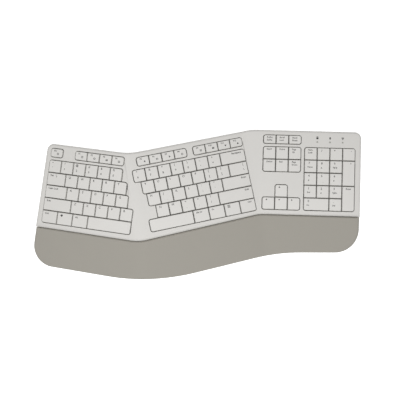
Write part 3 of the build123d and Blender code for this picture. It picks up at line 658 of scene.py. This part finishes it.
def cap_tops(node, deck):
    """The top of each cap of a node, in its deck's frame and from left to right.

    It is given as its lowest x, highest x, lowest y, highest y and height.
    """
    mesh = joined(node)
    mesh.transform(deck_turn(deck).inverted())
    tops = []
    for group in islands(mesh):
        height = max(vertex.co.z for vertex in group)
        rim = [vertex.co for vertex in group if vertex.co.z > height - FLAT]
        xs, ys = [co.x for co in rim], [co.y for co in rim]
        tops.append((min(xs), max(xs), min(ys), max(ys), height))
    mesh.free()
    return sorted(tops)


class KEYBOARD_OT_finish_nodes(bpy.types.Operator):
    """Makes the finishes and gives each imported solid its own"""

    bl_idname = "keyboard.finish_nodes"
    bl_label = "Finish the solids"

    def execute(self, context):
        finishes.update(make_materials(context.scene.keyboard_colours))
        for node, piece in nodes.items():
            piece.data.materials.clear()
            piece.data.materials.append(finishes[NODE_FINISH.get(node, "caps")])
        return {"FINISHED"}


class KEYBOARD_OT_ease_top_case(bpy.types.Operator):
    """Rounds the edges of the key openings and smooths the rim of the top case"""

    bl_idname = "keyboard.ease_top_case"
    bl_label = "Ease the top case"

    def execute(self, context):
        sizes = context.scene.keyboard_sizes
        case = merged("top_case")
        edges = set()
        for deck, rows in LEGENDS.items():
            up = up_from(deck_turn(deck))
            cap = next(iter(rows))
            level = cap_tops(cap, deck)[0][-1] - CAP_STAND * MM
            for edge in case.edges:
                on_deck = all(abs(vertex.co.dot(up) - level) < FLAT for vertex in edge.verts)
                if on_deck and turns_over(edge, SHARP_TURN):
                    edges.add(edge)
        if not edges:
            raise RuntimeError("the top case has no edges on its decks")
        bevel(case, list(edges), sizes.case_edge)
        place_piece(case, "top_case_eased", "case", "case", ["top_case"])
        return {"FINISHED"}


class KEYBOARD_OT_ease_palm_rest(bpy.types.Operator):
    """Rounds the palm rest's edge along the case, so that a shaded groove parts the two"""

    bl_idname = "keyboard.ease_palm_rest"
    bl_label = "Ease the palm rest"

    def execute(self, context):
        palm = merged("palm_rest")
        seam = [
            edge
            for edge in palm.edges
            if turns_over(edge, SHARP_TURN)
            and max(face.normal.y for face in edge.link_faces) > FACING
            and max(face.normal.z for face in edge.link_faces) > FACING
        ]
        if not seam:
            raise RuntimeError("the palm rest has no edge along the case")
        bevel(palm, seam, context.scene.keyboard_sizes.seam_edge, segments=3, profile=0.32)
        place_piece(palm, "palm_rest_eased", "palm", "case", ["palm_rest"])
        return {"FINISHED"}


class KEYBOARD_OT_ease_mouldings(bpy.types.Operator):
    """Smooths the tray, and rounds the edges of the door, the switch and the feet"""

    bl_idname = "keyboard.ease_mouldings"
    bl_label = "Ease the mouldings"

    def execute(self, context):
        for node, slot in MOULDINGS.items():
            piece = merged(node)
            if node != "bottom_case":
                corners = [
                    edge for edge in piece.edges if turns_over(edge, SHARP_TURN) and edge.is_convex
                ]
                bevel(piece, corners, context.scene.keyboard_sizes.lever_edge)
            body = nodes[node]["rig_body"]
            place_piece(piece, node + "_eased", NODE_FINISH[node], body, [node])
        return {"FINISHED"}


class KEYBOARD_OT_round_caps(bpy.types.Operator):
    """Rounds the corners and the top edges of every keycap"""

    bl_idname = "keyboard.round_caps"
    bl_label = "Round the keycaps"

    def execute(self, context):
        sizes = context.scene.keyboard_sizes
        for deck, rows in LEGENDS.items():
            turn = deck_turn(deck)
            for node in [*rows, *BLANK[deck]]:
                caps = merged(node)
                caps.transform(turn.inverted())
                top = max(vertex.co.z for vertex in caps.verts)
                corners = [
                    edge
                    for edge in caps.edges
                    if rise(edge) > FLAT
                    and max(vertex.co.z for vertex in edge.verts) > top - CAP_ROUND * MM
                    and turns_over(edge, SHARP_TURN)
                ]
                bevel(caps, corners, sizes.cap_corner)
                rims = [
                    edge
                    for edge in caps.edges
                    if rise(edge) < FLAT
                    and min(vertex.co.z for vertex in edge.verts) > top - CAP_RIM * MM
                    and turns_over(edge, RIM_TURN)
                ]
                bevel(caps, rims, sizes.cap_edge)
                caps.transform(turn)
                place_piece(
                    caps, node + "_rounded", "caps", node, [node], CAP_SHADE_TURN
                )
        return {"FINISHED"}


def flat_sign(outlines, height):
    """A curve of closed outlines, each of them filled, and an outline inside another one a hole."""
    curve = bpy.data.curves.new("sign", "CURVE")
    curve.dimensions = "2D"
    curve.fill_mode = "BOTH"
    for outline in outlines:
        spline = curve.splines.new("POLY")
        spline.points.add(len(outline) - 1)
        for point, (x, y) in zip(spline.points, outline):
            point.co = (x * height, y * height, 0, 1)
        spline.use_cyclic_u = True
    return curve


def flat_words(text, height, align, spread):
    """A curve of letters, whose edges run out by the spread."""
    curve = bpy.data.curves.new("words", "FONT")
    curve.body = text
    curve.size = height / CAPITAL
    curve.align_x = align.upper()
    curve.bevel_depth = spread
    curve.bevel_resolution = 0
    curve.resolution_u = 2
    return curve


def printed(mesh, text, deck, spot, height, align, sizes):
    """Adds one word or sign, as thick as its ink, to a bmesh. Its spot is in the deck's frame."""
    if text in SIGNS:
        curve = flat_sign(SIGNS[text], height)
        half = {"left": height / 2, "center": 0.0, "right": -height / 2}[align]
        spot = (spot[0] + half, spot[1] + height / 2, spot[2])
    else:
        curve = flat_words(text, height, align, sizes.spread)
    curve.extrude = sizes.ink
    # The spread also thickens the letters, so they are flattened to the ink's thickness again
    flat = Matrix.Diagonal((1.0, 1.0, sizes.ink / (sizes.ink + curve.bevel_depth), 1.0))
    holder = new_object("print", curve)
    shape = plain_mesh(holder)
    shape.transform(deck_turn(deck) @ Matrix.Translation(spot) @ flat)
    mesh.from_mesh(shape)
    bpy.data.objects.remove(holder)
    bpy.data.curves.remove(curve)
    bpy.data.meshes.remove(shape)


class KEYBOARD_OT_print_legends(bpy.types.Operator):
    """Prints the legends on the tops of the caps"""

    bl_idname = "keyboard.print_legends"
    bl_label = "Print the legends"

    def execute(self, context):
        sizes = context.scene.keyboard_sizes
        for deck, rows in LEGENDS.items():
            for node, legends in rows.items():
                tops = cap_tops(node, deck)
                if len(tops) != len(legends):
                    raise RuntimeError(f"{node} has {len(tops)} caps but {len(legends)} legends")
                prints = bmesh.new()
                for (low_x, high_x, _, high_y, top), legend in zip(tops, legends):
                    for text, style in legend:
                        if not text:
                            continue
                        side, inset, drop, height = STYLES[style]
                        x = high_x - inset * MM if side == "right" else low_x + inset * MM
                        spot = (x, high_y - drop * MM, top)
                        printed(prints, text, deck, spot, height * MM, side, sizes)
                bmesh.ops.remove_doubles(prints, verts=prints.verts, dist=MERGE)
                place_piece(prints, node + "_legends", "ink", node)
        return {"FINISHED"}


class KEYBOARD_OT_print_lamp_marks(bpy.types.Operator):
    """Prints a mark behind each of the three lamp windows"""

    bl_idname = "keyboard.print_lamp_marks"
    bl_label = "Print the lamp marks"

    def execute(self, context):
        sizes = context.scene.keyboard_sizes
        tops = cap_tops("indicator_lenses", "numpad")
        marks = bmesh.new()
        for (low_x, high_x, low_y, high_y, top), (sign, height) in zip(tops, LAMP_MARKS):
            spot = (
                (low_x + high_x) / 2,
                (low_y + high_y) / 2 + MARK_OFFSET * MM,
                top - LENS_STAND * MM,
            )
            printed(marks, sign, "numpad", spot, height * MM, "center", sizes)
        place_piece(marks, "lamp_marks", "marks", "case")
        return {"FINISHED"}


def new_tree(name, geometry, numbers):
    """A geometry tree whose inputs are a geometry and some numbers, and the sockets that give them."""
    tree = bpy.data.node_groups.new(name, "GeometryNodeTree")
    tree.interface.new_socket(geometry, in_out="INPUT", socket_type="NodeSocketGeometry")
    for title, default in numbers.items():
        socket = tree.interface.new_socket(title, in_out="INPUT", socket_type="NodeSocketFloat")
        socket.default_value = default
    tree.interface.new_socket("Geometry", in_out="OUTPUT", socket_type="NodeSocketGeometry")
    return tree, tree.nodes.new("NodeGroupInput").outputs


def close_tree(tree, geometry, material):
    """Ends a tree with real copies that have their material."""
    real = add_node(tree, "GeometryNodeRealizeInstances", {"Geometry": geometry})
    coated = add_node(
        tree, "GeometryNodeSetMaterial", {"Geometry": real.outputs["Geometry"], "Material": material}
    )
    add_node(tree, "NodeGroupOutput", {"Geometry": coated.outputs["Geometry"]})


def grown(tree, data, values):
    """The plain mesh that a geometry tree makes of a mesh, with the tree's inputs set by name."""
    holder = new_object("holder", data)
    modifier = holder.modifiers.new("grow", "NODES")
    modifier.node_group = tree
    for item in tree.interface.items_tree:
        if item.in_out == "INPUT" and item.name in values:
            modifier[item.identifier] = values[item.name]
    made = plain_mesh(holder)
    holder.modifiers.remove(modifier)
    bpy.data.objects.remove(holder)
    if not made.polygons:
        raise RuntimeError(f"{tree.name} made nothing")
    return made


def points_at(spots):
    """A mesh of loose points."""
    points = bpy.data.meshes.new("points")
    points.from_pydata(spots, [], [])
    return points


def touch_bar_tree(material):
    """A half-sunk round bar on each point."""
    tree, given = new_tree("touch_bars", "Points", {"Length": 3.6 * MM, "Radius": 0.35 * MM})
    rod = add_node(
        tree,
        "GeometryNodeMeshCylinder",
        {"Vertices": 12, "Radius": given["Radius"], "Depth": given["Length"]},
        fill_type="NGON",
    )
    lying = add_node(
        tree,
        "GeometryNodeTransform",
        {"Geometry": rod.outputs["Mesh"], "Rotation": (0.0, math.pi / 2, 0.0)},
    )
    bars = add_node(
        tree,
        "GeometryNodeInstanceOnPoints",
        {"Points": given["Points"], "Instance": lying.outputs["Geometry"]},
    )
    close_tree(tree, bars.outputs["Instances"], material)
    return tree


class KEYBOARD_OT_raise_touch_bars(bpy.types.Operator):
    """Raises the touch bars on the home caps"""

    bl_idname = "keyboard.raise_touch_bars"
    bl_label = "Raise the touch bars"

    def execute(self, context):
        sizes = context.scene.keyboard_sizes
        tree = touch_bar_tree(finishes["caps"])
        for node, (deck, step) in TOUCH_BARS.items():
            low_x, high_x, low_y, _, top = cap_tops(node, deck)[step]
            point = points_at([((low_x + high_x) / 2, low_y + BAR_INSET * MM, top)])
            bar = grown(tree, point, {"Length": sizes.bar_length, "Radius": sizes.bar_radius})
            bar.transform(deck_turn(deck))
            place_data(bar, node + "_touch_bar", "caps", node)
        return {"FINISHED"}


def spring_tree(material):
    """A round wire wound in a cone from its plate to its tip."""
    tree, given = new_tree(
        "battery_spring",
        "Geometry",
        {
            "Length": 5.8 * MM,
            "Base radius": 3.2 * MM,
            "Tip radius": 1.8 * MM,
            "Wire": 0.35 * MM,
            "Turns": 4.0,
        },
    )
    coil = add_node(
        tree,
        "GeometryNodeCurveSpiral",
        {
            "Resolution": 18,
            "Rotations": given["Turns"],
            "Start Radius": given["Base radius"],
            "End Radius": given["Tip radius"],
            "Height": given["Length"],
        },
    )
    round_wire = add_node(
        tree,
        "GeometryNodeCurvePrimitiveCircle",
        {"Resolution": 8, "Radius": given["Wire"]},
        mode="RADIUS",
    )
    wound = add_node(
        tree,
        "GeometryNodeCurveToMesh",
        {
            "Curve": coil.outputs["Curve"],
            "Profile Curve": round_wire.outputs["Curve"],
            "Fill Caps": True,
        },
    )
    close_tree(tree, wound.outputs["Mesh"], material)
    return tree


class KEYBOARD_OT_coil_springs(bpy.types.Operator):
    """Winds the two battery springs from their plates to the cells"""

    bl_idname = "keyboard.coil_springs"
    bl_label = "Coil the battery springs"

    def execute(self, context):
        wire = context.scene.keyboard_sizes.wire
        plate = PLATE * MM
        tree = spring_tree(finishes["contacts"])
        solids = merged("battery_contacts")
        contacts = bmesh.new()
        for group in islands(solids):
            low = Vector([min(vertex.co[axis] for vertex in group) for axis in range(3)])
            high = Vector([max(vertex.co[axis] for vertex in group) for axis in range(3)])
            span = high - low
            middle = (low + high) / 2
            # A contact longer than its plate has a spring, and its plate is where most points are
            coiled = span.x > 2 * plate
            at_left = sum(vertex.co.x < middle.x for vertex in group) > len(group) / 2
            start = low.x if at_left or not coiled else high.x - plate
            bmesh.ops.create_cube(
                contacts,
                size=1.0,
                matrix=Matrix.Translation((start + plate / 2, middle.y, middle.z))
                @ Matrix.Diagonal((plate, span.y, span.z, 1.0)),
            )
            if coiled:
                length = span.x - plate - 2 * wire
                made = grown(tree, points_at([]), {"Length": length, "Wire": wire})
                side = 1 if at_left else -1
                foot = start + plate + wire if at_left else start - wire
                made.transform(
                    Matrix.Translation((foot, middle.y, middle.z))
                    @ Matrix.Rotation(side * math.pi / 2, 4, "Y")
                )
                contacts.from_mesh(made)
        solids.free()
        place_piece(
            contacts, "battery_contacts_coiled", "contacts", "case",
            ["battery_contacts"],
        )
        return {"FINISHED"}


def dome_tree(material):
    """A rubber dome on each point: a flared skirt, a steep shoulder and a flat top for the plunger."""
    tree, given = new_tree(
        "rubber_domes",
        "Points",
        {"Base radius": 3.8 * MM, "Top radius": 2.0 * MM, "Height": 3.7 * MM},
    )
    # A barrel of unit size stands on its foot, and each of its points then moves in or out
    barrel = add_node(
        tree,
        "GeometryNodeMeshCylinder",
        {"Vertices": 20, "Side Segments": 8, "Radius": 1.0, "Depth": 1.0},
        fill_type="NGON",
    )
    place = add_node(tree, "GeometryNodeInputPosition").outputs["Position"]
    stood = add_node(
        tree, "ShaderNodeVectorMath", {0: place, 1: (0.0, 0.0, 0.5)}, operation="ADD"
    ).outputs["Vector"]
    parts = add_node(tree, "ShaderNodeSeparateXYZ", {"Vector": stood})
    flare = add_node(tree, "ShaderNodeFloatCurve", {"Value": parts.outputs["Z"]})
    outline = flare.mapping.curves[0].points
    outline[0].location = (0.0, 1.0)
    outline[1].location = (1.0, 0.0)
    for spot in DOME_FLARE:
        outline.new(*spot)
    flare.mapping.update()
    radius = add_node(
        tree,
        "ShaderNodeMapRange",
        {
            "Value": flare.outputs["Value"],
            "To Min": given["Top radius"],
            "To Max": given["Base radius"],
        },
    ).outputs["Result"]
    span = add_node(tree, "ShaderNodeCombineXYZ", {"X": radius, "Y": radius, "Z": given["Height"]})
    moved = add_node(
        tree, "ShaderNodeVectorMath", {0: stood, 1: span.outputs["Vector"]}, operation="MULTIPLY"
    )
    dome = add_node(
        tree,
        "GeometryNodeSetPosition",
        {"Geometry": barrel.outputs["Mesh"], "Position": moved.outputs["Vector"]},
    )
    domes = add_node(
        tree,
        "GeometryNodeInstanceOnPoints",
        {"Points": given["Points"], "Instance": dome.outputs["Geometry"]},
    )
    close_tree(tree, domes.outputs["Instances"], material)
    return tree


def levels(points):
    """How many heights a set of points has: few in the frame of the deck that they lie along."""
    return len({round(co.z / FLAT) for co in points})


def plate_between(node, turn, bottom, top):
    """A flat plate with the outline that a node has at one height of a deck's frame."""
    plate = merged(node)
    plate.transform(turn.inverted())
    others = [
        face
        for face in plate.faces
        if any(abs(vertex.co.z - bottom) > FLAT for vertex in face.verts)
    ]
    bmesh.ops.delete(plate, geom=others, context="FACES")
    made = bmesh.ops.extrude_face_region(plate, geom=list(plate.faces))
    raised = [item for item in made["geom"] if isinstance(item, bmesh.types.BMVert)]
    bmesh.ops.translate(plate, verts=raised, vec=(0, 0, top - bottom))
    bmesh.ops.recalc_face_normals(plate, faces=plate.faces)
    plate.transform(turn)
    return plate


def dome_spots(node, deck, tips, foot):
    """The foot of the dome under each cap of a node, in its deck's frame, from the domes' tips."""
    spots = []
    for low_x, high_x, low_y, high_y, _ in cap_tops(node, deck):
        under = [tip for tip in tips if low_x < tip.x < high_x and low_y < tip.y < high_y]
        middle = sum(under, Vector()) / len(under)
        spots.append((middle.x, middle.y, foot))
    return spots


class KEYBOARD_OT_form_domes(bpy.types.Operator):
    """Forms the rubber sheets, and on them a dome under each cap"""

    bl_idname = "keyboard.form_domes"
    bl_label = "Form the rubber domes"

    def execute(self, context):
        tree = dome_tree(finishes["domes"])
        sheets = merged("dome_sheets")
        solids = [[vertex.co.copy() for vertex in group] for group in islands(sheets)]
        sheets.free()
        for deck, rows in LEGENDS.items():
            turn = deck_turn(deck)
            back = turn.inverted()
            solid = min(([back @ co for co in points] for points in solids), key=levels)
            top = max(co.z for co in solid)
            foot = max(co.z for co in solid if co.z < top - FLAT)
            bottom = min(co.z for co in solid)
            plate = plate_between("dome_sheets", turn, bottom, foot)
            place_piece(plate, deck + "_dome_sheet", "domes", "case", ["dome_sheets"])
            tips = [co for co in solid if co.z > top - FLAT]
            for node in [*rows, *BLANK[deck]]:
                spots = dome_spots(node, deck, tips, foot)
                domes = grown(tree, points_at(spots), {"Height": top - foot})
                domes.transform(turn)
                piece = place_data(
                    domes, node + "_domes", "domes", "case", ["dome_sheets"]
                )
                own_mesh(piece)
        return {"FINISHED"}


# The camera of the photograph: its place in metres, and the turns in degrees that bring the scene
# into its view
CAMERA_PLACE = (0.02701, -0.08168, 1.0550)
CAMERA_TURN = (-4.872, -1.102, -1.724)
CAMERA_LENS = 62.1      # in millimetres, as the sensor is
CAMERA_SENSOR = 36.0

# The stage: its sizes are in metres
FLOOR_HALF = 4.0        # from the floor's middle to its sides
FLOOR_GLOW = 0.7        # strength of the light that the camera sees the paper give
SOFT_BOX_PLACE = (-0.05, -0.32, 1.27)
SOFT_BOX_WIDTH = 1.2
SOFT_BOX_DEPTH = 0.9
WHITE = linear(0xFFFFFF)
PAPER = linear(0xF4F4F4)


def studio_floor():
    """Pale paper: white to the camera where no shadow falls, and plain where light bounces off it."""
    material = bpy.data.materials.new("Paper_seamless_backdrop")
    material.use_nodes = True
    tree = material.node_tree
    tree.nodes.clear()
    rays = add_node(tree, "ShaderNodeLightPath").outputs
    seen = rays["Is Camera Ray"]
    for ray in ("Is Glossy Ray", "Is Transmission Ray"):
        seen = add_node(tree, "ShaderNodeMath", {0: seen, 1: rays[ray]}, operation="MAXIMUM").outputs[0]
    paper = add_node(tree, "ShaderNodeBsdfDiffuse", {"Color": PAPER})
    lift = add_node(tree, "ShaderNodeEmission", {"Color": WHITE, "Strength": FLOOR_GLOW})
    none = add_node(tree, "ShaderNodeEmission", {"Strength": 0.0})
    shown = add_node(tree, "ShaderNodeMixShader", {0: seen, 1: none.outputs[0], 2: lift.outputs[0]})
    both = add_node(tree, "ShaderNodeAddShader", {0: paper.outputs[0], 1: shown.outputs[0]})
    add_node(tree, "ShaderNodeOutputMaterial", {"Surface": both.outputs[0]})
    return material


def soft_box(power):
    """A lamp with a wide face overhead, turned to the middle of the floor."""
    lamp = bpy.data.lights.new("soft_box_overhead", "AREA")
    lamp.shape = "RECTANGLE"
    lamp.size = SOFT_BOX_WIDTH
    lamp.size_y = SOFT_BOX_DEPTH
    lamp.energy = power
    holder = new_object("soft_box_overhead", lamp)
    holder.location = SOFT_BOX_PLACE
    holder.rotation_mode = "QUATERNION"
    holder.rotation_quaternion = (-Vector(SOFT_BOX_PLACE)).to_track_quat("-Z", "Y")


def studio_world(fill):
    """An even light, which the camera sees as white."""
    world = bpy.data.worlds.new("studio")
    world.use_nodes = True
    tree = world.node_tree
    tree.nodes.clear()
    seen = add_node(tree, "ShaderNodeLightPath")
    lit = add_node(tree, "ShaderNodeBackground", {"Color": WHITE, "Strength": fill})
    white = add_node(tree, "ShaderNodeBackground", {"Color": WHITE, "Strength": 1.0})
    mixed = add_node(
        tree,
        "ShaderNodeMixShader",
        {0: seen.outputs["Is Camera Ray"], 1: lit.outputs[0], 2: white.outputs[0]},
    )
    add_node(tree, "ShaderNodeOutputWorld", {"Surface": mixed.outputs[0]})
    return world


class KEYBOARD_OT_set_stage(bpy.types.Operator):
    """Lays the floor, sets the light and places the camera"""

    bl_idname = "keyboard.set_stage"
    bl_label = "Set the stage"

    def execute(self, context):
        stage = context.scene.keyboard_stage
        scene = context.scene
        scene.view_settings.view_transform = "Standard"
        paper = bpy.data.meshes.new("floor")
        corners = [(x * FLOOR_HALF, y * FLOOR_HALF, 0) for x, y in ((-1, -1), (1, -1), (1, 1), (-1, 1))]
        paper.from_pydata(corners, [], [(0, 1, 2, 3)])
        paper.materials.append(studio_floor())
        floor = new_object("floor", paper)
        scene.world = studio_world(stage.fill)
        soft_box(stage.lamp)
        lens = bpy.data.cameras.new("camera")
        lens.lens = CAMERA_LENS
        lens.sensor_width = CAMERA_SENSOR
        camera = new_object("camera", lens)
        turn = Matrix.Identity(3)
        for angle, axis in zip(CAMERA_TURN, "XYZ"):
            turn = turn @ Matrix.Rotation(math.radians(angle), 3, axis)
        camera.matrix_world = Matrix.Translation(CAMERA_PLACE) @ turn.transposed().to_4x4()
        scene.camera = camera
        return {"FINISHED"}


class KEYBOARD_PT_build(bpy.types.Panel):
    """Lists the steps that finish the keyboard"""

    bl_idname = "KEYBOARD_PT_build"
    bl_label = "Keyboard"
    bl_space_type = "VIEW_3D"
    bl_region_type = "UI"
    bl_category = "Keyboard"

    def draw(self, context):
        for name in SETTINGS:
            group = getattr(context.scene, name)
            for setting in group.__annotations__:
                self.layout.prop(group, setting)
        for operator in OPERATORS:
            self.layout.operator(operator.bl_idname)


SETTINGS = {
    "keyboard_colours": KeyboardColours,
    "keyboard_sizes": KeyboardSizes,
    "keyboard_stage": KeyboardStage,
}
OPERATORS = (
    KEYBOARD_OT_finish_nodes,
    KEYBOARD_OT_ease_top_case,
    KEYBOARD_OT_ease_palm_rest,
    KEYBOARD_OT_ease_mouldings,
    KEYBOARD_OT_round_caps,
    KEYBOARD_OT_print_legends,
    KEYBOARD_OT_print_lamp_marks,
    KEYBOARD_OT_raise_touch_bars,
    KEYBOARD_OT_coil_springs,
    KEYBOARD_OT_form_domes,
    KEYBOARD_OT_set_stage,
)
CLASSES = (*SETTINGS.values(), *OPERATORS, KEYBOARD_PT_build)


def register():
    for made in CLASSES:
        bpy.utils.register_class(made)
    for name, made in SETTINGS.items():
        setattr(bpy.types.Scene, name, PointerProperty(type=made))


def unregister():
    for name in SETTINGS:
        delattr(bpy.types.Scene, name)
    for made in reversed(CLASSES):
        bpy.utils.unregister_class(made)


def main():
    register()
    for operator in OPERATORS:
        group, name = operator.bl_idname.split(".")
        getattr(getattr(bpy.ops, group), name)()


if __name__ == "__main__":
    main()
